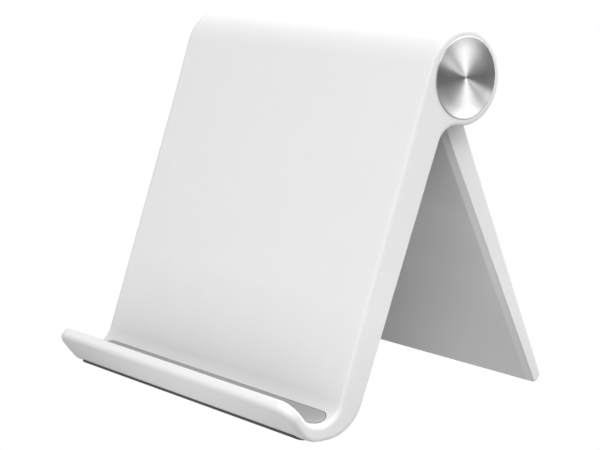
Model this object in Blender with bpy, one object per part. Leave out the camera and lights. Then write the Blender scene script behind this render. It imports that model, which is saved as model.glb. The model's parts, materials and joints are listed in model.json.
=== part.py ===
"""A folding tablet stand: a leaning front plate with a hook for the tablet, and a rear leg that
turns on two friction hinges inside the barrel at the top.

World frame: metres, X across the stand, -Y towards the person using it, +Z up. The stand rests on
Z = 0, and the origin is the middle of the bottom of its bounding box.

Lengths below are in millimetres. Two frames sit on the hinge axis: the plate's frame, whose Z runs
up the plate and whose Y points out of its back, and the leg's frame, whose Z runs up the leg.
Outlines are lists of (y, z) points in one of those frames, and are extruded along X. A 2D
vector's x is therefore Y, and its y is Z.
"""
import math

import bmesh
import bpy
from mathutils import Matrix, Vector

MM = 0.001
GAP = 0.3                     # between a piece and its neighbour
ARC_STEP = 7.5                # degrees between the points of an arc
OVERCUT = 2.0                 # how far a cutter runs past the face it opens

# Whole stand
WIDTH = 100.0
PLATE_LEAN = 19.0             # the plate leans back this far from upright
LEG_LEAN = 27.0               # the leg leans the other way

# Front plate
BARREL_R = 12.0
EAR_WIDTH = 7.0
POCKET_R = 10.0               # room for the leg's knuckle inside the barrel
SHELL_END = 8.0               # the barrel's shell stops this far above level at the back
RECESS_FLOOR = -7.1           # the folded leg lies in a recess with its floor here
BACK_TAPER = 1.95
NECK_R = 6.0

# Hook
TROUGH_DEPTH = 91.8           # hinge axis to the lowest point of the trough, along the plate
TROUGH_R = 6.8
HOOK_WALL = 3.9
LIP_RISE = 31.0               # slope of the lip against the plate's normal
LIP_WALL = 3.2
LIP_LENGTH = 5.4
LIP_CORNER_R = 4.5
RIM_INNER_R = 0.9
RIM_OUTER_R = 1.8
LIP_BEND_R = 6.2
HEEL_R = 11.5
FOOT_FLAT = 2.0

# Pads
FOOT_STRIP_LENGTH = 92.0
FOOT_STRIP_PROUD = 0.5
FOOT_STRIP_SUNK = 0.45
FOOT_STRIP_FRONT_TURN = 17.0  # how far round the lip's bend the strip reaches
FOOT_STRIP_REAR_TURN = 15.0   # and round the heel
HOOK_PAD_LENGTH = 95.8
HOOK_PAD_PROUD = 0.3
HOOK_PAD_SUNK = 0.6
HOOK_PAD_START = 30.0         # degrees round the trough, from the front face
HOOK_PAD_TURN = 50.0

# Back panel, in the floor of the recess
PANEL_HALF_WIDTH = 40.5
PANEL_TOP = -18.0
PANEL_BOTTOM = -84.0
PANEL_THICKNESS = 1.6

# Leg
LEG_HALF_WIDTH = 42.5
KNUCKLE_R = 9.7
LEG_COVER_FACE = -6.6
LEG_SEAM = -5.35              # plane where the shell and its cover meet
LEG_OUTER_AT_AXIS = 1.3       # the outer face, carried up to the hinge axis
LEG_TAPER = 2.0
LEG_TOE_R = 2.1
LEG_CLEARANCE = 0.15          # the leg's end stays this far above the table, and its pad stands on it
LEG_ROOT_R = 3.0
LEG_WALL = 1.8
LEG_SIDE_WALL = 2.2
LEG_CAVITY_TOP = -13.0
LEG_CAVITY_BOTTOM = -87.5
LEG_RIB_DROP = 1.1            # rib tops below the seam
COVER_TOP = -8.3
COVER_RIM_HEIGHT = 0.9
COVER_RIM_WALL = 1.2

# Leg foot pad, a strip pushed into the leg's toe
PAD_HALF_LENGTH = 40.0
PAD_SLOT = (-4.75, -3.25)
PAD_SLOT_TOP = -91.5

# Ribs divide a hollow into this many cells each way
RIB = 1.4
RIB_CELLS = 3
RIB_CELL_DEPTH = 0.8          # below the back panel's seat

# Hinge. Each piece is turned about X; "flat" is half the distance across its two flats.
BORE_R, BORE_FLAT = 8.0, 6.6
KEY_R, KEY_FLAT = 7.7, 6.3
SHAFT_R, SHAFT_FLAT = 2.0, 1.5
SHAFT_HOLE_R, SHAFT_HOLE_FLAT = 2.3, 1.8
ROUND_HOLE_R = 2.3
CAP_R = 10.3
CAP_POCKET_R = 10.6
CAP_POCKET_FLOOR = 47.4       # distances from the middle of the stand, along X
CAP_FACE = 50.2
CAP_THICKNESS = 1.8
CAP_CHAMFER = 0.3
TAPE = (47.65, 48.15)
TAPE_R = (5.6, 9.9)
FLANGE = (43.3, 47.15)
HEAD_SEAT = 45.2
HEAD = (45.5, 47.1)
HEAD_R = 3.9
HEAD_POCKET_R = 4.3
SHAFT_TIP = 27.5
FRICTION_WASHER = (42.3, 43.0)
FRICTION_WASHER_R = 6.2
CUP = (30.0, 42.0)
CUP_FLOOR = 39.4
CUP_CAVITY_R = 5.6
FRICTION_DISC = (38.4, 39.1)
FRICTION_DISC_R = 5.2
SPRING_R = (2.4, 5.0)
SPRING_THICKNESS = 0.5
SPRING_CONE = 0.8
OUTER_SPRING_RIM = 38.1
INNER_SPRING_RIM = 35.2
THRUST_WASHER = (34.1, 34.9)
THRUST_WASHER_R = 4.6
NUT = (30.4, 33.8)
NUT_ACROSS_FLATS = 7.0
NUT_CHAMFER = 0.4
TURNED_POINTS = 24            # round a small turned piece
CAP_POINTS = 48

# name: (colour, roughness, metallic)
FINISHES = {
    "white_abs": ((0.86, 0.86, 0.85), 0.42, 0.0),
    "grey_silicone": ((0.58, 0.58, 0.58), 0.65, 0.0),
    "dark_rubber": ((0.09, 0.09, 0.10), 0.75, 0.0),
    "spun_aluminium": ((0.80, 0.81, 0.82), 0.25, 1.0),
    "foam_tape": ((0.75, 0.75, 0.72), 0.90, 0.0),
    "zinc": ((0.62, 0.63, 0.65), 0.40, 1.0),
    "steel": ((0.50, 0.51, 0.53), 0.35, 1.0),
    "acetal": ((0.82, 0.80, 0.72), 0.50, 0.0),
}


# ---------------------------------------------------------------- outlines

def direction(degrees):
    return Vector((math.cos(math.radians(degrees)), math.sin(math.radians(degrees))))


def arc(radius, turn):
    return ("arc", radius, turn)


def line(length):
    return ("line", length, 0.0)


def trace(start, heading, steps):
    """Points along lines and tangent arcs. A positive turn bends left. Headings are degrees from Y."""
    points = [Vector(start)]
    for kind, size, turn in steps:
        if kind == "line":
            points.append(points[-1] + size * direction(heading))
            continue
        side = math.copysign(1.0, turn)
        centre = points[-1] + side * size * direction(heading + 90)
        count = max(1, round(abs(turn) / ARC_STEP))
        for i in range(1, count + 1):
            angle = heading + turn * i / count
            points.append(centre - side * size * direction(angle + 90))
        heading += turn
    return points


def neck_fillet(heel):
    """Centre of the arc that touches the barrel and the back face, which rises from heel."""
    up = direction(90 - BACK_TAPER)
    foot = heel + NECK_R * direction(-BACK_TAPER)
    along = foot.dot(up)
    reach = (BARREL_R + NECK_R) ** 2 - (foot.length_squared - along ** 2)
    return foot + (-along - math.sqrt(reach)) * up


def hook_inside():
    """Down the front face, round the trough, up the lip and over its rim."""
    return trace((-BARREL_R, 0), -90, [
        line(TROUGH_DEPTH - TROUGH_R), arc(TROUGH_R, -90 - LIP_RISE), line(LIP_LENGTH),
        arc(RIM_INNER_R, 90), line(LIP_WALL - RIM_INNER_R - RIM_OUTER_R), arc(RIM_OUTER_R, 90)])


def hook_front():
    """Down the outside of the lip to the flat that the foot strip lies on."""
    rim = hook_inside()[-1]
    bend = math.radians(LIP_RISE)
    drop = rim.y + TROUGH_DEPTH + HOOK_WALL - LIP_BEND_R * (1 - math.cos(bend))
    return trace(rim, -LIP_RISE, [
        line(drop / math.sin(bend)), arc(LIP_BEND_R, LIP_RISE), arc(HEEL_R, PLATE_LEAN)])


def hook_heel():
    """Along the flat and round the heel to the back face."""
    return trace(hook_front()[-1], PLATE_LEAN, [
        line(FOOT_FLAT), arc(HEEL_R, 90 - BACK_TAPER - PLATE_LEAN)])


def plate_outline():
    hook = hook_inside() + hook_front()[1:] + hook_heel()[1:]
    fillet = neck_fillet(hook[-1])
    meet = math.degrees(math.atan2(fillet.y, fillet.x))
    neck = trace(fillet - NECK_R * direction(-BACK_TAPER), 90 - BACK_TAPER, [
        arc(NECK_R, meet + BACK_TAPER), arc(BARREL_R, 180 - meet)])
    return hook + neck[:-1]


def barrel_opening():
    """What is missing from the plate between its ears: the knuckle's room, its mouth and the recess."""
    shell_end = SHELL_END + PLATE_LEAN
    floor_meet = 360 - math.degrees(math.acos(RECESS_FLOOR / POCKET_R))
    room = trace(POCKET_R * direction(shell_end), shell_end + 90, [arc(POCKET_R, floor_meet - shell_end)])
    far = 2 * BARREL_R
    below = -TROUGH_DEPTH - HOOK_WALL - OVERCUT
    return room + [Vector((RECESS_FLOOR, below)), Vector((far, below)), far * direction(shell_end)]


def under_hook(offset, extra=0.0):
    """The underside of the hook where the foot strip lies, moved outwards, front to back."""
    front = hook_front()[-1] + offset * direction(PLATE_LEAN - 90)
    ahead = trace(front, PLATE_LEAN + 180, [
        arc(HEEL_R + offset, -PLATE_LEAN), arc(LIP_BEND_R + offset, -FOOT_STRIP_FRONT_TURN - extra)])
    behind = trace(front, PLATE_LEAN, [line(FOOT_FLAT), arc(HEEL_R + offset, FOOT_STRIP_REAR_TURN + extra)])
    return ahead[::-1] + behind[1:]


def foot_strip_outline():
    return under_hook(FOOT_STRIP_PROUD) + under_hook(-FOOT_STRIP_SUNK)[::-1]


def foot_groove_outline():
    return under_hook(OVERCUT, GROOVE_EXTRA) + under_hook(-FOOT_STRIP_SUNK - GAP, GROOVE_EXTRA)[::-1]


def in_trough(offset, extra=0.0):
    """The surface of the trough where the hook pad lies, moved into the trough, front face first."""
    start = HOOK_PAD_START - extra
    radius = TROUGH_R - offset
    centre = Vector((-BARREL_R - TROUGH_R, TROUGH_R - TROUGH_DEPTH))
    return trace(centre + radius * direction(-start), -90 - start, [arc(radius, -HOOK_PAD_TURN - 2 * extra)])


def hook_pad_outline():
    return in_trough(HOOK_PAD_PROUD) + in_trough(-HOOK_PAD_SUNK)[::-1]


def hook_pad_groove_outline():
    return in_trough(OVERCUT, PAD_GROOVE_EXTRA) + in_trough(-HOOK_PAD_SUNK - GAP, PAD_GROOVE_EXTRA)[::-1]


def leg_outer(z):
    return LEG_OUTER_AT_AXIS + z * math.tan(math.radians(LEG_TAPER))


def leg_shell_outline():
    """From the seam along the level toe, up the outer face and round the knuckle."""
    lean, taper = math.radians(LEG_LEAN), math.radians(LEG_TAPER)
    reach = LEG_TOE_R / math.cos(taper)
    rise = LEG_CLEARANCE + LEG_TOE_R - HINGE_HEIGHT - (LEG_OUTER_AT_AXIS - reach) * math.sin(lean)
    toe_z = rise / (math.cos(lean) + math.tan(taper) * math.sin(lean))
    toe_centre = Vector((leg_outer(toe_z) - reach, toe_z))
    lowest = toe_centre + LEG_TOE_R * direction(-90 - LEG_LEAN)
    toe = trace(lowest, -LEG_LEAN, [arc(LEG_TOE_R, 90 - LEG_TAPER + LEG_LEAN)])
    root_y = LEG_OUTER_AT_AXIS + LEG_ROOT_R
    root = Vector((root_y, -math.sqrt((KNUCKLE_R + LEG_ROOT_R) ** 2 - root_y ** 2)))
    meet = math.degrees(math.atan2(root.y, root.x))
    root_arc = trace(root - LEG_ROOT_R * direction(0), 90, [arc(LEG_ROOT_R, meet)])
    seam = math.degrees(math.acos(LEG_SEAM / KNUCKLE_R))
    knuckle = trace(root_arc[-1], meet + 90, [arc(KNUCKLE_R, 360 - seam - meet)])
    return [above_table(LEG_SEAM, LEG_CLEARANCE)] + toe + root_arc + knuckle[1:]


def above_table(y, height):
    """The point of the leg with this y that is this high above the table."""
    lean = math.radians(LEG_LEAN)
    return Vector((y, (height - HINGE_HEIGHT - y * math.sin(lean)) / math.cos(lean)))


def leg_foot_outline():
    front, back = PAD_SLOT[0] + GAP, PAD_SLOT[1] - GAP
    top = PAD_SLOT_TOP - GAP
    return [above_table(front, 0), above_table(back, 0), Vector((back, top)), Vector((front, top))]


def in_world(point, lean):
    """A plate or leg point as (y, z) from the hinge axis in the world; the plate leans by +lean."""
    sin, cos = math.sin(math.radians(lean)), math.cos(math.radians(lean))
    return Vector((point.x * cos + point.y * sin, point.y * cos - point.x * sin))


# ---------------------------------------------------------------- sizes worked out from the outlines

GROOVE_EXTRA = math.degrees(GAP / HEEL_R)
PAD_GROOVE_EXTRA = math.degrees(GAP / TROUGH_R)
HINGE_HEIGHT = -min(in_world(p, PLATE_LEAN).y for p in foot_strip_outline())
LEG_END = above_table(LEG_SEAM - GAP, LEG_CLEARANCE).y
FRONT_MOST = min(in_world(p, PLATE_LEAN).x for p in plate_outline())
REAR_MOST = max(in_world(p, -LEG_LEAN).x for p in leg_shell_outline() + leg_foot_outline())
HINGE_Y = -(FRONT_MOST + REAR_MOST) / 2
EAR_INSIDE = WIDTH / 2 - EAR_WIDTH


# ---------------------------------------------------------------- meshes

def prism(outline, x_from, x_to):
    """An outline extruded along X."""
    bm = bmesh.new()
    corners = [bm.verts.new((x_from * MM, y * MM, z * MM)) for y, z in outline]
    swept = bmesh.ops.extrude_face_region(bm, geom=[bm.faces.new(corners)])["geom"]
    moved = [v for v in swept if isinstance(v, bmesh.types.BMVert)]
    bmesh.ops.translate(bm, verts=moved, vec=((x_to - x_from) * MM, 0, 0))
    return bm


def box(x_span, y_span, z_span):
    outline = [(y_span[0], z_span[0]), (y_span[1], z_span[0]), (y_span[1], z_span[1]), (y_span[0], z_span[1])]
    return prism(outline, *x_span)


def merged(pieces):
    """Several closed meshes as one, for a cutter that opens several places at once."""
    bm = bmesh.new()
    for piece in pieces:
        mesh = bpy.data.meshes.new("piece")
        bmesh.ops.recalc_face_normals(piece, faces=piece.faces)
        piece.to_mesh(mesh)
        piece.free()
        bm.from_mesh(mesh)
        bpy.data.meshes.remove(mesh)
    return bm


def loop(radius, flat=None, count=TURNED_POINTS):
    """Points round the axis. With flat, two sides are cut off at that distance, above and below."""
    points = []
    for i in range(count):
        ray = direction(360 * i / count)
        reach = min(radius, flat / max(abs(ray.y), 0.001)) if flat else radius
        points.append(reach * ray)
    return points


def hexagon(across_flats):
    points = []
    for i in range(TURNED_POINTS):
        angle = 360 * i / TURNED_POINTS
        off_flat = (angle + 30) % 60 - 30
        points.append(across_flats / 2 / math.cos(math.radians(off_flat)) * direction(angle))
    return points


def skin(loops, through):
    """Loops of 3D points joined in order. A piece with a hole through it joins its last to its first."""
    bm = bmesh.new()
    rings = [[bm.verts.new((x * MM, y * MM, z * MM)) for x, y, z in points] for points in loops]
    pairs = list(zip(rings, rings[1:]))
    if through:
        pairs.append((rings[-1], rings[0]))
    else:
        bm.faces.new(rings[0])
        bm.faces.new(rings[-1])
    for near, far in pairs:
        for i in range(len(near)):
            bm.faces.new((near[i - 1], near[i], far[i], far[i - 1]))
    return bm


def turned(sections, through=False):
    """Loops round the X axis, each at its own x."""
    return skin([[(x, y, z) for y, z in points] for x, points in sections], through)


def stepped(sections):
    """Rectangles facing Y, each as (y, half width, lowest z, highest z)."""
    return skin([[(-half, y, low), (half, y, low), (half, y, high), (-half, y, high)]
                 for y, half, low, high in sections], through=False)


def washer(span, outer, hole):
    return turned([(span[0], outer), (span[1], outer), (span[1], hole), (span[0], hole)], through=True)


# ---------------------------------------------------------------- objects

def material(name):
    if name in bpy.data.materials:
        return bpy.data.materials[name]
    colour, roughness, metallic = FINISHES[name]
    made = bpy.data.materials.new(name)
    made.use_nodes = True
    shader = made.node_tree.nodes["Principled BSDF"]
    shader.inputs["Base Color"].default_value = (*colour, 1.0)
    shader.inputs["Roughness"].default_value = roughness
    shader.inputs["Metallic"].default_value = metallic
    made.diffuse_color = (*colour, 1.0)
    return made


def finished_mesh(name, bm, finish):
    bm.normal_update()
    bmesh.ops.recalc_face_normals(bm, faces=bm.faces)
    mesh = bpy.data.meshes.new(name)
    bm.to_mesh(mesh)
    bm.free()
    mesh.shade_smooth()
    mesh.set_sharp_from_angle(angle=math.radians(30))
    if finish:
        mesh.materials.append(material(finish))
    return mesh


def place(name, mesh, frame, x=0.0):
    obj = bpy.data.objects.new(name, mesh)
    bpy.context.scene.collection.objects.link(obj)
    obj.parent = frame
    obj.location.x = x * MM
    return obj


def piece(name, bm, finish, frame):
    return place(name, finished_mesh(name, bm, finish), frame)


def cut(obj, name, bm):
    """Take a shape out of an object."""
    cutter = place("cut_" + name, finished_mesh("cut_" + name, bm, None), obj.parent)
    cutter.hide_render = True
    cutter.display_type = "WIRE"
    boolean = obj.modifiers.new(name, "BOOLEAN")
    boolean.operation = "DIFFERENCE"
    boolean.solver = "EXACT"
    boolean.object = cutter


def empty(name, parent=None, location=(0, 0, 0), rotation=(0, 0, 0)):
    obj = bpy.data.objects.new(name, None)
    bpy.context.scene.collection.objects.link(obj)
    obj.parent = parent
    obj.location = [value * MM for value in location]
    obj.rotation_euler = [math.radians(value) for value in rotation]
    return obj


# ---------------------------------------------------------------- front plate

def lip_corner(side):
    """What rounds off one top corner of the lip. Built looking at the lip: across, then up it."""
    reach = WIDTH / 2
    start = reach - LIP_CORNER_R
    rounded = trace((start, 0), 0, [arc(LIP_CORNER_R, -90)])
    outline = rounded + [Vector((reach + OVERCUT, -LIP_CORNER_R)), Vector((reach + OVERCUT, OVERCUT)),
                         Vector((start, OVERCUT))]
    bm = prism(outline, -LIP_WALL, 2 * LIP_WALL)
    slope = direction(180 - LIP_RISE)
    outwards = direction(270 - LIP_RISE)
    top = hook_inside()[1]
    centre = Vector((-BARREL_R - TROUGH_R, top.y))
    rim = centre + TROUGH_R * outwards + (LIP_LENGTH + RIM_INNER_R) * slope
    across = Vector((side, 0, 0))
    axes = Matrix((Vector((0, *outwards)), across, Vector((0, *slope)))).transposed().to_4x4()
    bm.transform(Matrix.Translation(Vector((0, *rim)) * MM) @ axes)
    return bm


def cells(half_width, bottom, top, mouth, floor):
    """Hollows side by side and one above the other, with ribs between them. floor(z) is their depth."""
    width = (2 * half_width - RIB * (RIB_CELLS - 1)) / RIB_CELLS
    height = (top - bottom - RIB * (RIB_CELLS - 1)) / RIB_CELLS
    hollows = []
    for column in range(RIB_CELLS):
        x = -half_width + column * (width + RIB)
        for row in range(RIB_CELLS):
            low = bottom + row * (height + RIB)
            high = low + height
            outline = [(mouth, low), (floor(low), low), (floor(high), high), (mouth, high)]
            hollows.append(prism(outline, x, x + width))
    return merged(hollows)


def front_plate(frame):
    plate = piece("front_plate", prism(plate_outline(), -WIDTH / 2, WIDTH / 2), "white_abs", frame)
    cut(plate, "barrel_opening", prism(barrel_opening(), -EAR_INSIDE, EAR_INSIDE))
    for side, tag in ((1, "right"), (-1, "left")):
        cut(plate, "lip_corner_" + tag, lip_corner(side))
        bore = turned([(side * (EAR_INSIDE - OVERCUT), loop(BORE_R, BORE_FLAT)),
                       (side * (CAP_POCKET_FLOOR + GAP), loop(BORE_R, BORE_FLAT))])
        cut(plate, "ear_bore_" + tag, bore)
        pocket = turned([(side * CAP_POCKET_FLOOR, loop(CAP_POCKET_R, count=CAP_POINTS)),
                         (side * (WIDTH / 2 + OVERCUT), loop(CAP_POCKET_R, count=CAP_POINTS))])
        cut(plate, "cap_pocket_" + tag, pocket)
    half_strip = FOOT_STRIP_LENGTH / 2 + GAP
    cut(plate, "foot_groove", prism(foot_groove_outline(), -half_strip, half_strip))
    half_pad = HOOK_PAD_LENGTH / 2 + GAP
    cut(plate, "hook_pad_groove", prism(hook_pad_groove_outline(), -half_pad, half_pad))
    seat_floor = RECESS_FLOOR - PANEL_THICKNESS - GAP
    half_seat = PANEL_HALF_WIDTH + GAP
    cut(plate, "panel_seat", box((-half_seat, half_seat), (seat_floor, RECESS_FLOOR + OVERCUT),
                                 (PANEL_BOTTOM - GAP, PANEL_TOP + GAP)))
    inset = 2 * RIB
    cut(plate, "plate_cells", cells(half_seat - inset, PANEL_BOTTOM + inset, PANEL_TOP - inset,
                                    seat_floor + GAP, lambda z: seat_floor - RIB_CELL_DEPTH))


def plate_fittings(frame):
    piece("back_panel", box((-PANEL_HALF_WIDTH, PANEL_HALF_WIDTH),
                            (RECESS_FLOOR - PANEL_THICKNESS, RECESS_FLOOR), (PANEL_BOTTOM, PANEL_TOP)),
          "white_abs", frame)
    piece("front_foot_strip", prism(foot_strip_outline(), -FOOT_STRIP_LENGTH / 2, FOOT_STRIP_LENGTH / 2),
          "dark_rubber", frame)
    piece("hook_pad", prism(hook_pad_outline(), -HOOK_PAD_LENGTH / 2, HOOK_PAD_LENGTH / 2),
          "grey_silicone", frame)


# ---------------------------------------------------------------- leg

def leg_shell(frame):
    body = prism(leg_shell_outline(), -LEG_HALF_WIDTH, LEG_HALF_WIDTH)
    shell = piece("leg_shell", body, "white_abs", frame)
    ends = (-LEG_HALF_WIDTH - OVERCUT, LEG_HALF_WIDTH + OVERCUT)
    cut(shell, "knuckle_bore", turned([(x, loop(BORE_R, BORE_FLAT)) for x in ends]))
    half_cavity = LEG_HALF_WIDTH - LEG_SIDE_WALL
    rib_top = LEG_SEAM + LEG_RIB_DROP
    cut(shell, "cover_seat", box((-half_cavity, half_cavity), (LEG_SEAM - OVERCUT, rib_top),
                                 (LEG_CAVITY_BOTTOM, LEG_CAVITY_TOP)))
    cut(shell, "leg_cells", cells(half_cavity, LEG_CAVITY_BOTTOM, LEG_CAVITY_TOP, rib_top - GAP,
                                  lambda z: leg_outer(z) - LEG_WALL))
    half_slot = PAD_HALF_LENGTH + GAP
    slot = box((-half_slot, half_slot), PAD_SLOT, (LEG_END - OVERCUT, PAD_SLOT_TOP))
    cut(shell, "foot_slot", slot)


def leg_cover(frame):
    back = LEG_SEAM - GAP
    rim_top = LEG_SEAM + COVER_RIM_HEIGHT
    rim_half = LEG_HALF_WIDTH - LEG_SIDE_WALL - GAP
    rim_low, rim_high = LEG_CAVITY_BOTTOM + GAP, LEG_CAVITY_TOP - GAP
    wall = COVER_RIM_WALL
    bevel = back - LEG_COVER_FACE
    piece("leg_cover", stepped([
        (LEG_COVER_FACE, LEG_HALF_WIDTH - bevel, LEG_END + bevel, COVER_TOP - bevel),
        (back, LEG_HALF_WIDTH, LEG_END, COVER_TOP),
        (back, rim_half, rim_low, rim_high),
        (rim_top, rim_half, rim_low, rim_high),
        (rim_top, rim_half - wall, rim_low + wall, rim_high - wall),
        (back, rim_half - wall, rim_low + wall, rim_high - wall)]), "white_abs", frame)


def leg_foot_pad(frame):
    piece("leg_foot_pad", prism(leg_foot_outline(), -PAD_HALF_LENGTH, PAD_HALF_LENGTH), "dark_rubber", frame)


# ---------------------------------------------------------------- hinge

def cap_sections():
    back = CAP_FACE - CAP_THICKNESS
    return [(x, loop(radius, count=CAP_POINTS)) for x, radius in (
        (back, CAP_R - CAP_CHAMFER), (back + CAP_CHAMFER, CAP_R),
        (CAP_FACE - CAP_CHAMFER, CAP_R), (CAP_FACE, CAP_R - CAP_CHAMFER))]


def flange_sections():
    """Keyed to the ear, with a seat for the shaft's head."""
    inner, outer = FLANGE
    return [(inner, loop(KEY_R, KEY_FLAT)), (outer, loop(KEY_R, KEY_FLAT)),
            (outer, loop(HEAD_POCKET_R)), (HEAD_SEAT, loop(HEAD_POCKET_R)),
            (HEAD_SEAT, loop(SHAFT_HOLE_R, SHAFT_HOLE_FLAT)), (inner, loop(SHAFT_HOLE_R, SHAFT_HOLE_FLAT))]


def shaft_sections():
    shank = loop(SHAFT_R, SHAFT_FLAT)
    inner, outer = HEAD
    return [(SHAFT_TIP, loop(SHAFT_FLAT)), (SHAFT_TIP + GAP, shank), (inner, shank),
            (inner, loop(HEAD_R)), (outer - GAP, loop(HEAD_R)), (outer, loop(HEAD_R - GAP))]


def cup_sections():
    """Keyed to the knuckle. Its floor is clamped between the friction pieces."""
    inner, outer = CUP
    return [(inner, loop(KEY_R, KEY_FLAT)), (outer, loop(KEY_R, KEY_FLAT)), (outer, loop(ROUND_HOLE_R)),
            (CUP_FLOOR, loop(ROUND_HOLE_R)), (CUP_FLOOR, loop(CUP_CAVITY_R)), (inner, loop(CUP_CAVITY_R))]


def spring_sections(rim, lean):
    """A cone-shaped spring washer. Its rim is at x = rim and its middle is further in or out by lean."""
    hole, edge = (loop(radius) for radius in SPRING_R)
    back = SPRING_THICKNESS
    return [(rim, edge), (rim + lean, hole), (rim + lean - back, hole), (rim - back, edge)]


def nut_sections():
    inner, outer = NUT
    body, end, hole = hexagon(NUT_ACROSS_FLATS), loop(NUT_ACROSS_FLATS / 2), loop(ROUND_HOLE_R)
    return [(inner, end), (inner + NUT_CHAMFER, body), (outer - NUT_CHAMFER, body), (outer, end),
            (outer, hole), (inner, hole)]


def hinge_pieces():
    """Each piece of one hinge: name, finish, shape and whether it turns with the leg."""
    keyed_hole = loop(SHAFT_HOLE_R, SHAFT_HOLE_FLAT)
    outer_spring = spring_sections(OUTER_SPRING_RIM, -SPRING_CONE)
    inner_spring = spring_sections(INNER_SPRING_RIM + SPRING_THICKNESS, SPRING_CONE)
    return [
        ("end_cap", "spun_aluminium", turned(cap_sections()), False),
        ("cap_tape", "foam_tape", washer(TAPE, loop(TAPE_R[1]), loop(TAPE_R[0])), False),
        ("hinge_flange", "zinc", turned(flange_sections(), through=True), False),
        ("hinge_shaft", "steel", turned(shaft_sections()), False),
        ("friction_washer", "acetal", washer(FRICTION_WASHER, loop(FRICTION_WASHER_R), keyed_hole), False),
        ("hinge_cup", "zinc", turned(cup_sections(), through=True), True),
        ("friction_disc", "acetal", washer(FRICTION_DISC, loop(FRICTION_DISC_R), keyed_hole), False),
        ("outer_disc_spring", "steel", turned(outer_spring, through=True), False),
        ("inner_disc_spring", "steel", turned(inner_spring, through=True), False),
        ("thrust_washer", "steel", washer(THRUST_WASHER, loop(THRUST_WASHER_R), loop(ROUND_HOLE_R)), False),
        ("lock_nut", "steel", turned(nut_sections(), through=True), False),
    ]


def hinges(plate_frame, leg_frame):
    """The same pieces at both ends. The left hinge is the right one turned half round Z."""
    meshes = [(name, finished_mesh(name, bm, finish), on_leg) for name, finish, bm, on_leg in hinge_pieces()]
    for tag, turn in (("right", 0), ("left", 180)):
        on_plate = empty("hinge_" + tag, plate_frame, rotation=(0, 0, turn))
        on_leg_end = empty("knuckle_" + tag, leg_frame, rotation=(0, 0, turn))
        for name, mesh, on_leg in meshes:
            place(name + "_" + tag, mesh, on_leg_end if on_leg else on_plate)


# ---------------------------------------------------------------- stand

def build():
    for obj in list(bpy.data.objects):
        bpy.data.objects.remove(obj, do_unlink=True)
    axis = (0, HINGE_Y, HINGE_HEIGHT)
    plate_frame = empty("plate_frame", location=axis, rotation=(-PLATE_LEAN, 0, 0))
    leg_frame = empty("leg_frame", location=axis, rotation=(LEG_LEAN, 0, 0))
    front_plate(plate_frame)
    plate_fittings(plate_frame)
    leg_shell(leg_frame)
    leg_cover(leg_frame)
    leg_foot_pad(leg_frame)
    hinges(plate_frame, leg_frame)


build()
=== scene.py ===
"""Looks of the folding tablet stand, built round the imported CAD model.

The plate, the leg and their fittings get finer bodies than the CAD's: soft edges where the
moulding has them, rounded ends on the hook's pad and a turned face on the caps. A moulding is
described by its signed distance, so that an edge's radius can change along it, and its surface is
meshed on a grid.

Lengths are in millimetres until a mesh is placed. The plate's and the leg's frames sit on the hinge
axis, with Z up the plate or the leg and Y out of the stand's back. Outlines are in (y, z).
"""

import json
import math

import bmesh
import bpy
import numpy as np
from mathutils import Matrix, Vector


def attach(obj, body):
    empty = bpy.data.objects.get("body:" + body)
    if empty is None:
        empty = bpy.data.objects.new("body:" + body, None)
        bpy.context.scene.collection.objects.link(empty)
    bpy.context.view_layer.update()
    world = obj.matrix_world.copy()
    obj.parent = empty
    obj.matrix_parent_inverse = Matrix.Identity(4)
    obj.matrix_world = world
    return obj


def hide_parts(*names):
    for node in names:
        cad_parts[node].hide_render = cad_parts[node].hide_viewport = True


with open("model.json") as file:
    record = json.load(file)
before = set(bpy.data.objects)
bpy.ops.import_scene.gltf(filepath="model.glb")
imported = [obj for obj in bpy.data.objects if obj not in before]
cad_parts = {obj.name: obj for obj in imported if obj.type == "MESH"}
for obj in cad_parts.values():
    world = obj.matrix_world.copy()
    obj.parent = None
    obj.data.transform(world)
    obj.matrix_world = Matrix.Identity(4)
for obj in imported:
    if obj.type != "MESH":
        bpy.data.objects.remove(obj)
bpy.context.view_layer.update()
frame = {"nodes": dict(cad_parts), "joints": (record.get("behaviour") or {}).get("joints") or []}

MM = 0.001
HINGE = Vector(frame["joints"][0]["pos_m"])
HINGE_HEIGHT = HINGE.z / MM
PLATE_LEAN = 19.0
LEG_LEAN = 27.0
HALF_WIDTH = 50.0
GAP = 0.3
OVERCUT = 2.0                 # how far a cutter runs past the face it opens
SHARP_ANGLE = 35.0            # edges sharper than this stay sharp when a mesh is shaded smooth
COARSE_X = [4.0, 12.0, 20.0, 28.0, 36.0]      # grid planes where a section doesn't change

# Plate and hook
BARREL_R = 12.0
EAR_INSIDE = 43.0
POCKET_R = 10.0
SHELL_END = 8.0
RECESS_FLOOR = -7.1
BACK_TAPER = 1.95
NECK_R = 6.0
TROUGH_DEPTH = 91.8
TROUGH_R = 6.8
HOOK_WALL = 3.9
LIP_RISE = 31.0
LIP_WALL = 3.2
LIP_TOP = 6.3                 # the rim's height over the end of the trough, measured up the lip
LIP_SPARE = 4.0               # the lip is drawn this much too long, before its top is shaped
LIP_CORNER_R = 4.5
LIP_BEND_R = 6.2
HEEL_R = 11.5
FOOT_FLAT = 2.0
BORE_R, BORE_FLAT = 8.0, 6.6  # the keyed bore for a hinge: its radius, and its flats off the axis
CAP_POCKET_R = 10.33
CAP_POCKET_FLOOR = 47.4
PANEL_SEAT = (40.8, -84.3, -17.7, -9.0)       # half width, bottom, top, floor
PLATE_CELLS = (38.0, -81.2, -20.8, -9.8)
RIB = 1.4
TROUGH_CENTRE = np.array((-BARREL_R - TROUGH_R, TROUGH_R - TROUGH_DEPTH))
FRONT_MIDDLE = -20.0          # down to here the front's edges get rounder
SOFT_EDGE = 0.6
FACE_EDGE = 1.3
LIP_EDGE = 1.1
TROUGH_EDGE = 0.8

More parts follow.
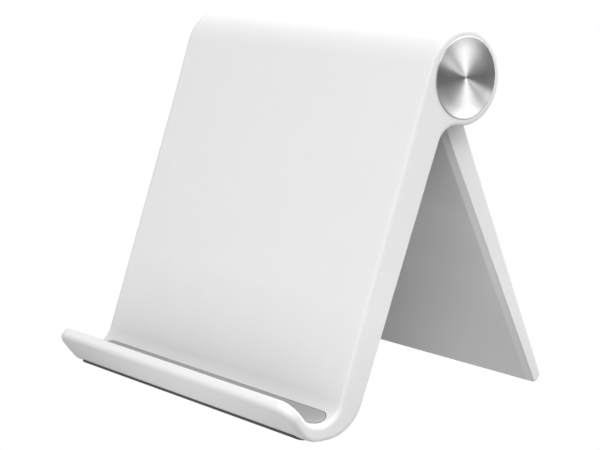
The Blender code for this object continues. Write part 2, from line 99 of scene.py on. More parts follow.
# Pads
FOOT_STRIP_HALF = 46.0
FOOT_STRIP_SUNK = 0.45
FOOT_STRIP_FRONT_TURN = 17.0
FOOT_STRIP_REAR_TURN = 15.0
HOOK_PAD_HALF = 47.9
HOOK_PAD_TURNS = (30.0, 80.0)  # degrees round the trough, from the front face
HOOK_PAD_PROUD, HOOK_PAD_SUNK = 0.3, 0.6
HOOK_PAD_GAP = 0.15
HOOK_PAD_EDGES = (0.28, 0.05)  # edge radii on top and underneath

# Leg
LEG_HALF_WIDTH = 42.5
KNUCKLE_R = 9.7
LEG_COVER_FACE = -6.6
LEG_SEAM = -5.35
LEG_OUTER_AT_AXIS = 1.3
LEG_TAPER = 2.0
LEG_TOE_R = 2.1
LEG_ROOT_R = 3.0
LEG_CLEARANCE = 0.15
LEG_CAVITY = (40.3, -87.5, -13.0)             # half width, bottom, top
LEG_WALL = 1.8
LEG_RIB_DROP = 1.1            # rib tops behind the seam
LEG_EDGE, LEG_TOE_EDGE, KNUCKLE_EDGE, SEAM_EDGE = 0.8, 0.7, 0.3, 0.1
COVER_TOP = -8.3
COVER_GAP = 0.03
COVER_RIM_HEIGHT, COVER_RIM_WALL = 0.9, 1.2
COVER_EDGE = 0.25
FOOT_SLOT = (40.3, -4.75, -3.25, -91.5)       # half length, front, back, top

# Caps
CAP_R = 10.3
CAP_FACE = 50.2
CAP_BACK = 48.4
CAP_CHAMFER = 0.3
CAP_EDGE = 0.15
CAP_BORDER = (9.9, 9.8)       # the step round the turned face: its top and its foot
CAP_SINK = 0.05
CAP_DIMPLE = ((0.45, 0.05), (0.25, 0.1), (0.0, 0.11))     # radius and depth


# ---------------------------------------------------------------- outlines

def direction(degrees):
    return np.array((math.cos(math.radians(degrees)), math.sin(math.radians(degrees))))


def trace(start, heading, steps):
    """Lines and tangent arcs, walked with the body on the left. A step is a line's length, or an
    arc's (radius, turn), and the edge radius that it ends with. A part is its two ends, their edge
    radii, and an arc's centre, radius and turn."""
    at, edge = np.array(start[:2], float), start[2]
    parts = []
    for step, next_edge in steps:
        if isinstance(step, tuple):
            radius, turn = step
            side = math.copysign(1.0, turn)
            centre = at + side * radius * direction(heading + 90)
            heading += turn
            end = centre - side * radius * direction(heading + 90)
            parts.append((at, end, edge, next_edge, (centre, radius, turn)))
        else:
            end = at + step * direction(heading)
            parts.append((at, end, edge, next_edge, None))
        at, edge = end, next_edge
    return parts


def closed(parts):
    """Parts with straight lines put in wherever one doesn't start where the one before ended."""
    chain = []
    for part in parts + parts[:1]:
        if chain and np.hypot(*(part[0] - chain[-1][1])) > 1e-6:
            chain.append((chain[-1][1], part[0], chain[-1][3], part[2], None))
        chain.append(part)
    return chain[:-1]


def polygon(parts, arc_step=3.0):
    points = []
    for start, end, _, _, bend in parts:
        points.append(start)
        if bend:
            centre, _, turn = bend
            count = max(1, round(abs(turn) / arc_step))
            ray = start - centre
            for i in range(1, count):
                cos, sin = direction(turn * i / count)
                turned = (ray[0] * cos - ray[1] * sin, ray[0] * sin + ray[1] * cos)
                points.append(centre + np.array(turned))
    points.append(parts[-1][1])
    return points


def hook_underside():
    """The outside of the lip with its spare length, its bend, the flat and the heel."""
    rim = TROUGH_CENTRE + (TROUGH_R + LIP_WALL) * direction(270 - LIP_RISE)
    top = rim + (LIP_TOP + LIP_SPARE) * direction(180 - LIP_RISE)
    bend = math.radians(LIP_RISE)
    drop = top[1] + TROUGH_DEPTH + HOOK_WALL - LIP_BEND_R * (1 - math.cos(bend))
    return trace((*top, LIP_EDGE), -LIP_RISE, [
        (drop / math.sin(bend), LIP_EDGE), ((LIP_BEND_R, LIP_RISE), SOFT_EDGE),
        ((HEEL_R, PLATE_LEAN), SOFT_EDGE), (FOOT_FLAT, SOFT_EDGE),
        ((HEEL_R, 90 - BACK_TAPER - PLATE_LEAN), SOFT_EDGE)])


def plate_outline():
    """The plate from the side, with the lip too long: its top is shaped in plate_distance."""
    down = TROUGH_DEPTH - TROUGH_R
    inside = trace((-BARREL_R, 0, SOFT_EDGE), -90, [
        (-FRONT_MIDDLE, FACE_EDGE), (down + FRONT_MIDDLE, LIP_EDGE),
        ((TROUGH_R, -90 - LIP_RISE), TROUGH_EDGE), (LIP_TOP + LIP_SPARE, TROUGH_EDGE)])
    outside = hook_underside()
    up = direction(90 - BACK_TAPER)
    foot = outside[-1][1] + NECK_R * direction(-BACK_TAPER)
    along = foot @ up
    fillet = foot - (along + math.sqrt((BARREL_R + NECK_R) ** 2 - (foot @ foot - along ** 2))) * up
    meet = math.degrees(math.atan2(fillet[1], fillet[0]))
    neck = trace((*(fillet - NECK_R * direction(-BACK_TAPER)), SOFT_EDGE), 90 - BACK_TAPER, [
        ((NECK_R, meet + BACK_TAPER), SOFT_EDGE), ((BARREL_R, 180 - meet), SOFT_EDGE)])
    return closed(inside + outside + neck)


def barrel_opening():
    """What is missing between the plate's ears: the knuckle's room, its mouth and the recess."""
    shell_end = SHELL_END + PLATE_LEAN
    floor_meet = 360 - math.degrees(math.acos(RECESS_FLOOR / POCKET_R))
    room = trace((*(POCKET_R * direction(shell_end)), 0), shell_end + 90, [
        ((POCKET_R, floor_meet - shell_end), 0)])
    far = 2 * BARREL_R
    below = -TROUGH_DEPTH - HOOK_WALL - OVERCUT
    return polygon(room) + [(RECESS_FLOOR, below), (far, below), far * direction(shell_end)]


def under_hook(offset, extra=0.0):
    """The hook's underside where the foot strip lies, moved outwards, front to back."""
    front = hook_underside()[2][1] + offset * direction(PLATE_LEAN - 90)
    ahead = trace((*front, 0), PLATE_LEAN + 180, [
        ((HEEL_R + offset, -PLATE_LEAN), 0),
        ((LIP_BEND_R + offset, -FOOT_STRIP_FRONT_TURN - extra), 0)])
    behind = trace((*front, 0), PLATE_LEAN, [
        (FOOT_FLAT, 0), ((HEEL_R + offset, FOOT_STRIP_REAR_TURN + extra), 0)])
    return polygon(ahead)[::-1] + polygon(behind)[1:]


def leg_outer(z):
    return LEG_OUTER_AT_AXIS + z * math.tan(math.radians(LEG_TAPER))


def leg_end(y, height=LEG_CLEARANCE):
    lean = math.radians(LEG_LEAN)
    return (y, (height - HINGE_HEIGHT - y * math.sin(lean)) / math.cos(lean))


def leg_outline():
    """The leg's shell from the side: the level toe, the outer face, the root and the knuckle."""
    lean, taper = math.radians(LEG_LEAN), math.radians(LEG_TAPER)
    reach = LEG_TOE_R / math.cos(taper)
    rise = LEG_CLEARANCE + LEG_TOE_R - HINGE_HEIGHT - (LEG_OUTER_AT_AXIS - reach) * math.sin(lean)
    toe_z = rise / (math.cos(lean) + math.tan(taper) * math.sin(lean))
    lowest = np.array((leg_outer(toe_z) - reach, toe_z)) + LEG_TOE_R * direction(-90 - LEG_LEAN)
    toe = trace((*lowest, LEG_TOE_EDGE), -LEG_LEAN, [
        ((LEG_TOE_R, 90 - LEG_TAPER + LEG_LEAN), LEG_EDGE)])
    root_y = LEG_OUTER_AT_AXIS + LEG_ROOT_R
    root = np.array((root_y, -math.sqrt((KNUCKLE_R + LEG_ROOT_R) ** 2 - root_y ** 2)))
    meet = math.degrees(math.atan2(root[1], root[0]))
    root_arc = trace((root[0] - LEG_ROOT_R, root[1], LEG_EDGE), 90, [
        ((LEG_ROOT_R, meet), KNUCKLE_EDGE)])
    seam = math.degrees(math.acos(LEG_SEAM / KNUCKLE_R))
    knuckle = trace((*root_arc[-1][1], KNUCKLE_EDGE), meet + 90, [
        ((KNUCKLE_R, 360 - seam - meet), KNUCKLE_EDGE)])
    seam_side = [(knuckle[-1][1], np.array(leg_end(LEG_SEAM)), SEAM_EDGE, SEAM_EDGE, None)]
    return closed(toe + root_arc + knuckle + seam_side)


# ---------------------------------------------------------------- signed distances

def section_distance(parts, y, z):
    """Distance from (y, z) to an outline, negative inside it, and the edge radius nearest to it."""
    y, z = np.broadcast_arrays(y, z)
    nearest = np.full(y.shape, 1e9)
    side = np.ones(y.shape)
    radius = np.zeros(y.shape)
    for start, end, edge_from, edge_to, bend in parts:
        if bend:
            centre, size, turn = bend
            dy, dz = y - centre[0], z - centre[1]
            reach = np.hypot(dy, dz)
            signed = math.copysign(1.0, turn) * (reach - size)
            begin = math.atan2(start[1] - centre[1], start[0] - centre[0])
            middle = begin + math.radians(turn) / 2
            off = np.arctan2(dz * math.cos(middle) - dy * math.sin(middle),
                             dy * math.cos(middle) + dz * math.sin(middle))
            share = 0.5 + off / math.radians(turn)
            ends = np.minimum(np.hypot(y - start[0], z - start[1]),
                              np.hypot(y - end[0], z - end[1]))
            gap = np.where((share >= 0) & (share <= 1), np.abs(signed), ends)
            share = np.clip(share, 0, 1)
        else:
            along = end - start
            length = math.hypot(*along)
            dy, dz = y - start[0], z - start[1]
            signed = (dy * along[1] - dz * along[0]) / length
            share = np.clip((dy * along[0] + dz * along[1]) / length ** 2, 0, 1)
            gap = np.hypot(dy - share * along[0], dz - share * along[1])
        tied = np.abs(gap - nearest) < 1e-7
        closer = np.where(tied, np.abs(signed) > np.abs(side), gap < nearest)
        nearest = np.where(closer, gap, nearest)
        side = np.where(closer, signed, side)
        radius = np.where(closer, edge_from + (edge_to - edge_from) * share, radius)
    return np.where(side < 0, -nearest, nearest), radius


def rounded(a, b, radius):
    """The overlap of two bodies, with a fillet of this radius where their surfaces meet."""
    corner = np.hypot(np.maximum(a + radius, 0), np.maximum(b + radius, 0)) - radius
    return np.where((a > -radius) & (b > -radius), corner, np.maximum(a, b))


def plate_distance(outline):
    out, up = direction(270 - LIP_RISE), direction(180 - LIP_RISE)

    def distance(x, y, z):
        section, radius = section_distance(outline, y, z)
        dy, dz = y - TROUGH_CENTRE[0], z - TROUGH_CENTRE[1]
        across = np.abs(x) - (HALF_WIDTH - LIP_CORNER_R)
        above = dy * up[0] + dz * up[1] - (LIP_TOP - LIP_CORNER_R)
        lip = np.hypot(np.maximum(across, 0), above) - LIP_CORNER_R
        on_lip = (dy * out[0] + dz * out[1] > TROUGH_R / 2) & (above > 0)
        return rounded(section, np.where(on_lip, lip, np.abs(x) - HALF_WIDTH), radius)

    return distance


def leg_distance(outline):
    def distance(x, y, z):
        section, radius = section_distance(outline, y, z)
        return rounded(section, np.abs(x) - LEG_HALF_WIDTH, radius)

    return distance


def pad_half_width():
    return math.radians(HOOK_PAD_TURNS[1] - HOOK_PAD_TURNS[0]) * TROUGH_R / 2


def pad_distance(x, along, out):
    """A flat strip with full-round ends: along is across the strip, out is through it."""
    half = pad_half_width()
    plan = np.hypot(np.maximum(np.abs(x) - (HOOK_PAD_HALF - half), 0), along) - half
    top = rounded(plan, out - HOOK_PAD_PROUD, HOOK_PAD_EDGES[0])
    return rounded(top, -HOOK_PAD_SUNK - out, HOOK_PAD_EDGES[1])


# ---------------------------------------------------------------- meshing

def grid_surface(distance, xs, ys, zs):
    """Points and quads of the surface where distance is zero, a point for each cell it crosses."""
    grid = (xs, ys, zs)
    shape = [len(values) for values in grid]
    cells = [n - 1 for n in shape]
    field = distance(xs[:, None, None], ys[None, :, None], zs[None, None, :])
    field = np.broadcast_to(field, shape)
    inside = field < 0
    total = np.zeros(cells + [3])
    count = np.zeros(cells)
    for axis in range(3):
        others = [d for d in range(3) if d != axis]
        for u, v in ((0, 0), (0, 1), (1, 0), (1, 1)):
            low = [0, 0, 0]
            low[others[0]], low[others[1]] = u, v
            next_low = [low[d] + (d == axis) for d in range(3)]
            near = tuple(slice(low[d], low[d] + cells[d]) for d in range(3))
            far = tuple(slice(next_low[d], next_low[d] + cells[d]) for d in range(3))
            a, b = field[near], field[far]
            crossed = inside[near] != inside[far]
            share = np.where(crossed, a / np.where(crossed, a - b, 1), 0)
            for d in range(3):
                along = [-1 if e == d else 1 for e in range(3)]
                place = grid[d][near[d]].reshape(along)
                if d == axis:
                    place = place + share * np.diff(grid[d]).reshape(along)
                total[..., d] += np.where(crossed, place, 0)
            count += crossed
    used = count > 0
    number = np.zeros(cells, int)
    number[used] = np.arange(used.sum())
    faces = []
    for axis in range(3):
        u, v = (axis + 1) % 3, (axis + 2) % 3
        low = [slice(1, -1)] * 3
        low[axis] = slice(0, -1)
        high = list(low)
        high[axis] = slice(1, None)
        a, b = inside[tuple(low)], inside[tuple(high)]
        for wanted, turn in ((a & ~b, 1), (~a & b, -1)):
            at = np.argwhere(wanted)
            at[:, [u, v]] += 1
            quad = []
            for du, dv in ((0, 0), (-1, 0), (-1, -1), (0, -1)):
                cell = at.copy()
                cell[:, u] += du
                cell[:, v] += dv
                quad.append(number[cell[:, 0], cell[:, 1], cell[:, 2]])
            faces.append(np.stack(quad, 1)[:, ::turn])
    return total[used] / count[used][:, None], np.concatenate(faces)


def settled(points, distance, rounds=3, step=0.01):
    """Points moved onto the surface where distance is zero."""
    for _ in range(rounds):
        value = distance(*points.T)
        rises = [distance(*(points + step * axis).T) - distance(*(points - step * axis).T)
                 for axis in np.eye(3)]
        slope = np.stack(rises, 1) / (2 * step)
        steep = np.maximum((slope ** 2).sum(1), 0.2)
        points = points - np.clip(value / steep, -0.4, 0.4)[:, None] * slope
    return points


def moulding(distance, xs, ys, zs):
    points, faces = grid_surface(distance, xs, ys, zs)
    mesh = bpy.data.meshes.new("moulding")
    mesh.from_pydata(settled(points, distance).tolist(), [], faces.tolist())
    return mesh


def both_sides(values):
    values = np.array(values)
    return np.concatenate((-values[::-1], values))


def steps(start, end, size):
    return np.linspace(start, end, max(2, round(abs(end - start) / size) + 1))


def prism(outline, x_from, x_to):
    """An outline drawn out along X, as a closed mesh."""
    bm = bmesh.new()
    corners = [bm.verts.new((x_from, y, z)) for y, z in outline]
    swept = bmesh.ops.extrude_face_region(bm, geom=[bm.faces.new(corners)])["geom"]
    moved = [v for v in swept if isinstance(v, bmesh.types.BMVert)]
    bmesh.ops.translate(bm, verts=moved, vec=(x_to - x_from, 0, 0))
    return bm


def box(half_width, y_span, z_span):
    return prism([(y_span[0], z_span[0]), (y_span[1], z_span[0]), (y_span[1], z_span[1]),
                  (y_span[0], z_span[1])], -half_width, half_width)


def rod(radius, x_from, x_to, flat=None, count=96):
    points = []
    for i in range(count):
        ray = direction(360 * i / count)
        points.append((min(radius, flat / max(abs(ray[1]), 0.001)) if flat else radius) * ray)
    return prism(points, x_from, x_to)


def cells(half_width, bottom, top, mouth, floor):
    """Hollows in three columns and three rows, with ribs between them. floor(z) is their depth."""
    width = (2 * half_width - 2 * RIB) / 3
    height = (top - bottom - 2 * RIB) / 3
    hollows = []
    for column in range(3):
        x = -half_width + column * (width + RIB)
        for row in range(3):
            low = bottom + row * (height + RIB)
            high = low + height
            section = [(mouth, low), (floor(low), low), (floor(high), high), (mouth, high)]
            hollows.append(prism(section, x, x + width))
    return hollows


def without(mesh, cutters):
    """The mesh with closed cutter shapes taken out of it."""
    scene = bpy.context.scene.collection
    body = bpy.data.objects.new("body", mesh)
    scene.objects.link(body)
    helpers = [body]
    for bm in cutters:
        bmesh.ops.recalc_face_normals(bm, faces=bm.faces)
        cutter_mesh = bpy.data.meshes.new("cutter")
        bm.to_mesh(cutter_mesh)
        bm.free()
        cutter = bpy.data.objects.new("cutter", cutter_mesh)
        scene.objects.link(cutter)
        helpers.append(cutter)
        boolean = body.modifiers.new("cut", "BOOLEAN")
        boolean.operation = "DIFFERENCE"
        boolean.solver = "MANIFOLD"
        boolean.object = cutter
    bpy.context.view_layer.update()
    depsgraph = bpy.context.evaluated_depsgraph_get()
    result = bpy.data.meshes.new_from_object(body.evaluated_get(depsgraph))
    for helper in helpers:
        old = helper.data
        bpy.data.objects.remove(helper)
        bpy.data.meshes.remove(old)
    return result


# ---------------------------------------------------------------- materials

class Graph:
    """A node material being put together."""

    def __init__(self, name):
        self.material = bpy.data.materials.new(name)
        self.material.use_nodes = True
        self.tree = self.material.node_tree
        self.shader = self.tree.nodes["Principled BSDF"]

    def node(self, kind, settings=None, **inputs):
        """A new node. Inputs go by name, or by number as i0 and i1."""
        made = self.tree.nodes.new("ShaderNode" + kind)
        for key, value in (settings or {}).items():
            setattr(made, key, value)
        for key, value in inputs.items():
            which = int(key[1:]) if key[1:].isdigit() else key.replace("_", " ")
            self.wire(made.inputs[which], value)
        return made

    def wire(self, socket, value):
        if isinstance(value, bpy.types.NodeSocket):
            self.tree.links.new(value, socket)
        else:
            socket.default_value = value

    def math(self, operation, a, b):
        return self.node("Math", {"operation": operation}, i0=a, i1=b).outputs[0]

    def place(self):
        return self.node("TexCoord").outputs["Object"]

    def noise(self, size, detail=2.0, vector=None):
        """Noise with features of about this many millimetres."""
        made = self.node("TexNoise", Scale=1 / (size * MM), Detail=detail)
        self.wire(made.inputs["Vector"], vector or self.place())
        return made.outputs["Fac"]

    def spread(self, value, low, high):
        """A noise value stretched to run from low to high."""
        made = self.node("MapRange", Value=value, From_Min=0.3, From_Max=0.7, To_Min=low,
                         To_Max=high)
        return made.outputs["Result"]

    def soft_normal(self, radius):
        return self.node("Bevel", {"samples": 4}, Radius=radius * MM).outputs["Normal"]

    def bump(self, height, depth, normal=None):
        made = self.node("Bump", Height=height, Distance=depth * MM)
        made.inputs["Strength"].default_value = 1.0
        if normal:
            self.wire(made.inputs["Normal"], normal)
        return made.outputs["Normal"]

    def edge(self, soft):
        """Nearly 0 on flat faces and rising on tight edges."""
        sharp = self.node("NewGeometry").outputs["Normal"]
        dot = self.node("VectorMath", {"operation": "DOT_PRODUCT"}, i0=soft, i1=sharp)
        return self.math("SUBTRACT", 1.0, dot.outputs["Value"])

    def shade(self, colour, factor):
        """The colour times a factor."""
        made = self.node("VectorMath", {"operation": "SCALE"})
        made.inputs[0].default_value = colour
        self.wire(made.inputs["Scale"], factor)
        return made.outputs[0]


PAINTED_CORNER_SHADE = 0.4                    # painted shade: how much darker plastic and rubber are painted in deep corners, where shade falls
PAINTED_SHADE_REACH = 30.0             # and how near another surface makes a corner for that painted shade


def moulded(name, colour, roughness, grain, depth, soft=0.12, tint=0.006):
    """Plastic or rubber: a fine texture from the mould, faint patches, slightly worn edges and
    painted shade that darkens the colour in deep corners.
    """
    g = Graph(name)
    normal = g.soft_normal(soft)
    wear = g.math("MULTIPLY", g.edge(normal), 0.6)
    patches = g.spread(g.noise(9.0), 1 - tint, 1 + tint)
    speckle = g.spread(g.noise(grain * 2), 1 - tint / 2, 1 + tint / 2)
    lift = g.math("ADD", g.math("MULTIPLY", patches, speckle), g.math("MULTIPLY", wear, 0.1))
    # painted shade: an ambient occlusion term darkens the base colour wherever other surfaces are
    # near
    open_air = g.node("AmbientOcclusion", {"samples": 8}, Distance=PAINTED_SHADE_REACH * MM).outputs["AO"]
    lift = g.math("MULTIPLY", lift, g.math("ADD", 1 - PAINTED_CORNER_SHADE, g.math("MULTIPLY", open_air, PAINTED_CORNER_SHADE)))
    g.wire(g.shader.inputs["Base Color"], g.shade(colour, lift))
    rough = g.spread(g.noise(3.0, 4.0), roughness - 0.03, roughness + 0.03)
    g.wire(g.shader.inputs["Roughness"], g.math("SUBTRACT", rough, g.math("MULTIPLY", wear, 0.3)))
    g.wire(g.shader.inputs["Normal"], g.bump(g.noise(grain, 3.0), depth, normal))
    return g.material


def machined(name, colour, roughness, scratch=0.12):
    """Pressed or cast metal for the hinge: fine scratches and edges worn bright."""
    g = Graph(name)
    normal = g.soft_normal(0.12)
    stretched = g.node("Mapping", Vector=g.place(), Scale=(0.15, 1.0, 1.0)).outputs["Vector"]
    lines = g.noise(scratch, 3.0, stretched)
    wear = g.math("MULTIPLY", g.edge(normal), 1.5)
    patches = g.spread(g.noise(2.0), 0.94, 1.0)
    g.wire(g.shader.inputs["Base Color"], g.shade(colour, g.math("ADD", patches, wear)))
    g.wire(g.shader.inputs["Metallic"], 1.0)
    g.wire(g.shader.inputs["Roughness"], g.spread(lines, roughness - 0.08, roughness + 0.08))
    g.wire(g.shader.inputs["Normal"], g.bump(lines, 0.004, normal))
    return g.material


def spun(name, colour, roughness):
    """Aluminium turned on a lathe: grooves round the axis, which spread reflections outwards."""
    g = Graph(name)
    from_axis = g.node("VectorMath", {"operation": "SUBTRACT"}, i0=g.place(), i1=tuple(HINGE))
    across = g.node("VectorMath", {"operation": "MULTIPLY"}, i0=from_axis.outputs[0],
                    i1=(0.0, 1.0, 1.0)).outputs[0]
    reach = g.node("VectorMath", {"operation": "LENGTH"}, i0=across).outputs["Value"]
    tangent = g.node("VectorMath", {"operation": "NORMALIZE"}, i0=across).outputs[0]
    turn_lines = g.node("CombineXYZ", X=reach).outputs[0]
    grooves = g.noise(0.12, 2.0, turn_lines)
    g.wire(g.shader.inputs["Base Color"], g.shade(colour, g.spread(grooves, 0.95, 1.03)))
    g.wire(g.shader.inputs["Metallic"], 1.0)
    g.wire(g.shader.inputs["Roughness"], g.spread(grooves, roughness - 0.03, roughness + 0.03))
    g.wire(g.shader.inputs["Anisotropic"], 1.0)
    g.wire(g.shader.inputs["Tangent"], tangent)
    g.wire(g.shader.inputs["Normal"], g.bump(grooves, 0.0015))
    return g.material


MATERIALS = {
    "white_plastic": moulded("white_plastic_fine", (0.82, 0.82, 0.82), 0.42, 0.35, 0.003),
    "silicone": moulded("silicone_fine", (0.41, 0.41, 0.42), 0.60, 0.25, 0.008, 0.1),
    "rubber": moulded("rubber_fine", (0.085, 0.085, 0.09), 0.68, 0.2, 0.012, 0.15, tint=0.06),
    "acetal": moulded("acetal_fine", (0.80, 0.78, 0.70), 0.45, 0.2, 0.003, 0.08),
    "foam_tape": moulded("foam_tape_fine", (0.72, 0.72, 0.69), 0.9, 0.15, 0.03, 0.05, tint=0.05),
    "zinc": machined("zinc_fine", (0.58, 0.59, 0.61), 0.42, 0.3),
    "steel": machined("steel_fine", (0.50, 0.51, 0.53), 0.30),
    "spun_aluminium": spun("spun_aluminium_fine", (0.93, 0.93, 0.93), 0.42),
}


# ---------------------------------------------------------------- pieces

def piece(name, mesh, body, node, slot, lean=0.0):
    """A finished piece: out of its millimetre frame, into the world, on its body."""
    turned = Matrix.Translation(HINGE) @ Matrix.Rotation(math.radians(lean), 4, "X")
    mesh.transform(turned @ Matrix.Scale(MM, 4))
    mesh.shade_smooth()
    mesh.set_sharp_from_angle(angle=math.radians(SHARP_ANGLE))
    mesh.materials.clear()
    mesh.materials.append(MATERIALS[slot])
    mesh.name = name
    obj = bpy.data.objects.new(name, mesh)
    bpy.context.scene.collection.objects.link(obj)
    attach(obj, body)
    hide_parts(node)


def front_plate():
    xs = both_sides(COARSE_X + list(steps(40.0, 45.4, 0.6)) + list(steps(46.0, 50.8, 0.4)))
    body = moulding(plate_distance(plate_outline()), xs, steps(-47, 13, 0.5), steps(-98, 13, 0.5))
    groove_extra = math.degrees(GAP / HEEL_R)
    groove = under_hook(OVERCUT, groove_extra)
    groove += under_hook(-FOOT_STRIP_SUNK - GAP, groove_extra)[::-1]
    half, bottom, top, floor = PANEL_SEAT
    cutters = [prism(barrel_opening(), -EAR_INSIDE, EAR_INSIDE),
               prism(groove, -FOOT_STRIP_HALF - GAP, FOOT_STRIP_HALF + GAP),
               box(half, (floor, RECESS_FLOOR + OVERCUT), (bottom, top)), pad_groove()]
    half, bottom, top, floor = PLATE_CELLS
    cutters += cells(half, bottom, top, PANEL_SEAT[3] + GAP, lambda z: floor)
    for side in (1, -1):
        cutters.append(rod(BORE_R, side * (EAR_INSIDE - OVERCUT), side * (CAP_POCKET_FLOOR + GAP),
                           BORE_FLAT))
        cutters.append(rod(CAP_POCKET_R, side * CAP_POCKET_FLOOR, side * (HALF_WIDTH + OVERCUT)))
    piece("front_plate_moulding", without(body, cutters), "plate", "front_plate", "white_plastic",
          -PLATE_LEAN)


def round_trough(x, along, out):
    """A point of the trough's surface, from its place across and through the hook's pad."""
    angle = math.radians(-sum(HOOK_PAD_TURNS) / 2) - along / TROUGH_R
    reach = TROUGH_R - out
    return x, TROUGH_CENTRE[0] + reach * math.cos(angle), TROUGH_CENTRE[1] + reach * math.sin(angle)


def pad_plan(grow, count=48):
    """Points round the hook pad's outline, as (x, along)."""
    half = pad_half_width()
    straight = HOOK_PAD_HALF - half
    points = []
    for i in range(count):
        ray = direction(360 * (i + 0.5) / count)
        end = math.copysign(straight, ray[0])
        points.append((end + (half + grow) * ray[0], (half + grow) * ray[1]))
    return points


def pad_groove():
    """What is cut from the trough for the hook's pad."""
    bm = bmesh.new()
    rings = []
    for out in (-HOOK_PAD_SUNK - 0.1, 3.0):
        plan = pad_plan(HOOK_PAD_GAP)
        rings.append([bm.verts.new(round_trough(x, along, out)) for x, along in plan])
    for ring in rings:
        for i in range(len(ring) // 2 - 1):
            j = len(ring) - 1 - i
            bm.faces.new((ring[i], ring[i + 1], ring[j - 1], ring[j]))
    for i in range(len(rings[0])):
        bm.faces.new((rings[0][i - 1], rings[0][i], rings[1][i], rings[1][i - 1]))
    return bm


def hook_pad():
    side = pad_half_width() + 0.4
    xs = both_sides(COARSE_X + list(steps(41.0, HOOK_PAD_HALF + 0.4, 0.2)))
    mesh = moulding(pad_distance, xs, steps(-side, side, 0.2), steps(-0.8, 0.5, 0.1))
    for vertex in mesh.vertices:
        vertex.co = round_trough(*vertex.co)
    mesh.flip_normals()
    piece("hook_pad_strip", mesh, "plate", "hook_pad", "silicone", -PLATE_LEAN)


def leg_shell():
    xs = both_sides(COARSE_X + list(steps(40.0, 43.2, 0.2)))
    body = moulding(leg_distance(leg_outline()), xs, steps(-11, 12, 0.4), steps(-97, 12, 0.4))
    half, bottom, top = LEG_CAVITY
    rib_top = LEG_SEAM + LEG_RIB_DROP
    slot_half, front, back, slot_top = FOOT_SLOT
    cutters = [rod(BORE_R, -LEG_HALF_WIDTH - OVERCUT, LEG_HALF_WIDTH + OVERCUT, BORE_FLAT),
               box(half, (LEG_SEAM - OVERCUT, rib_top), (bottom, top)),
               box(slot_half, (front, back), (slot_top - 2 * OVERCUT, slot_top))]
    cutters += cells(half, bottom, top, rib_top - GAP, lambda z: leg_outer(z) - LEG_WALL)
    piece("leg_shell_moulding", without(body, cutters), "leg", "leg_shell", "white_plastic",
          LEG_LEAN)


def leg_cover():
    """The bevelled inner face of the leg, with the rim that fits inside the shell."""
    back = LEG_SEAM - COVER_GAP
    rim = LEG_SEAM + COVER_RIM_HEIGHT
    end = leg_end(back)[1]
    bevel = back - LEG_COVER_FACE
    half, bottom, top = LEG_CAVITY
    outside = (half - GAP, bottom + GAP, top - GAP)
    inside = (outside[0] - COVER_RIM_WALL, outside[1] + COVER_RIM_WALL, outside[2] - COVER_RIM_WALL)
    sections = [(LEG_COVER_FACE, LEG_HALF_WIDTH - bevel, end + bevel, COVER_TOP - bevel),
                (back, LEG_HALF_WIDTH, end, COVER_TOP), (back, *outside), (rim, *outside),
                (rim, *inside), (back, *inside)]
    bm = bmesh.new()
    rings = []
    for y, h, low, high in sections:
        corners = ((-h, y, low), (h, y, low), (h, y, high), (-h, y, high))
        rings.append([bm.verts.new(corner) for corner in corners])
    bm.faces.new(rings[0])
    bm.faces.new(rings[-1])
    for near, far in zip(rings, rings[1:]):
        for i in range(4):
            bm.faces.new((near[i - 1], near[i], far[i], far[i - 1]))
    bmesh.ops.recalc_face_normals(bm, faces=bm.faces)
    soft = [edge for edge in bm.edges if all(v in rings[0] for v in edge.verts)
            or (any(v in rings[0] for v in edge.verts) and any(v in rings[1] for v in edge.verts))]
    bmesh.ops.bevel(bm, geom=soft, offset=COVER_EDGE, segments=3, affect="EDGES", profile=0.5)
    mesh = bpy.data.meshes.new("cover")
    bm.to_mesh(mesh)
    bm.free()
    piece("leg_cover_moulding", mesh, "leg", "leg_cover", "white_plastic", LEG_LEAN)


def soft_copy(name, node, body, slot, width):
    """A CAD node's shape with its sharp edges rounded."""
    source = frame["nodes"][node]
    bm = bmesh.new()
    bm.from_mesh(source.data)
    bmesh.ops.remove_doubles(bm, verts=bm.verts, dist=1e-7)
    bmesh.ops.dissolve_limit(bm, angle_limit=math.radians(0.5), verts=bm.verts, edges=bm.edges)
    sharp = [edge for edge in bm.edges if len(edge.link_faces) == 2
             and edge.calc_face_angle() > math.radians(40)]
    bmesh.ops.bevel(bm, geom=sharp, offset=width * MM, segments=3, affect="EDGES", profile=0.5)
    mesh = bpy.data.meshes.new(name)
    bm.to_mesh(mesh)
    bm.free()
    mesh.transform((Matrix.Translation(HINGE) @ Matrix.Scale(MM, 4)).inverted())
    piece(name, mesh, body, node, slot)


def end_cap(side, tag, count=144):
    """A turned cap: rounded rim, a face a little below it and a dimple from the lathe's centre."""
    profile = [(CAP_BACK, 0.0), (CAP_BACK, CAP_R - CAP_CHAMFER), (CAP_BACK + CAP_CHAMFER, CAP_R)]
    for i in range(7):
        cos, sin = direction(15 * i)
        profile.append((CAP_FACE - CAP_EDGE + CAP_EDGE * sin, CAP_R - CAP_EDGE + CAP_EDGE * cos))
    profile.append((CAP_FACE, CAP_BORDER[0]))
    profile += [(CAP_FACE - CAP_SINK, radius) for radius in (CAP_BORDER[1], 7.0, 4.0, 1.5)]
    profile += [(CAP_FACE - depth, radius) for radius, depth in CAP_DIMPLE]
    rays = [direction(360 * i / count) for i in range(count)]
    bm = bmesh.new()
    rings = []
    for x, radius in profile:
        if radius:
            rings.append([bm.verts.new((side * x, *(radius * ray))) for ray in rays])
        else:
            rings.append([bm.verts.new((side * x, 0, 0))] * count)
    for near, far in zip(rings, rings[1:]):
        for i in range(count):
            corners = [near[i - 1], near[i], far[i], far[i - 1]]
            bm.faces.new(list(dict.fromkeys(corners)))
    bmesh.ops.recalc_face_normals(bm, faces=bm.faces)
    mesh = bpy.data.meshes.new("cap")
    bm.to_mesh(mesh)
    bm.free()
    piece("end_cap_turned_" + tag, mesh, "plate", "end_cap_" + tag, "spun_aluminium")


# ---------------------------------------------------------------- stage

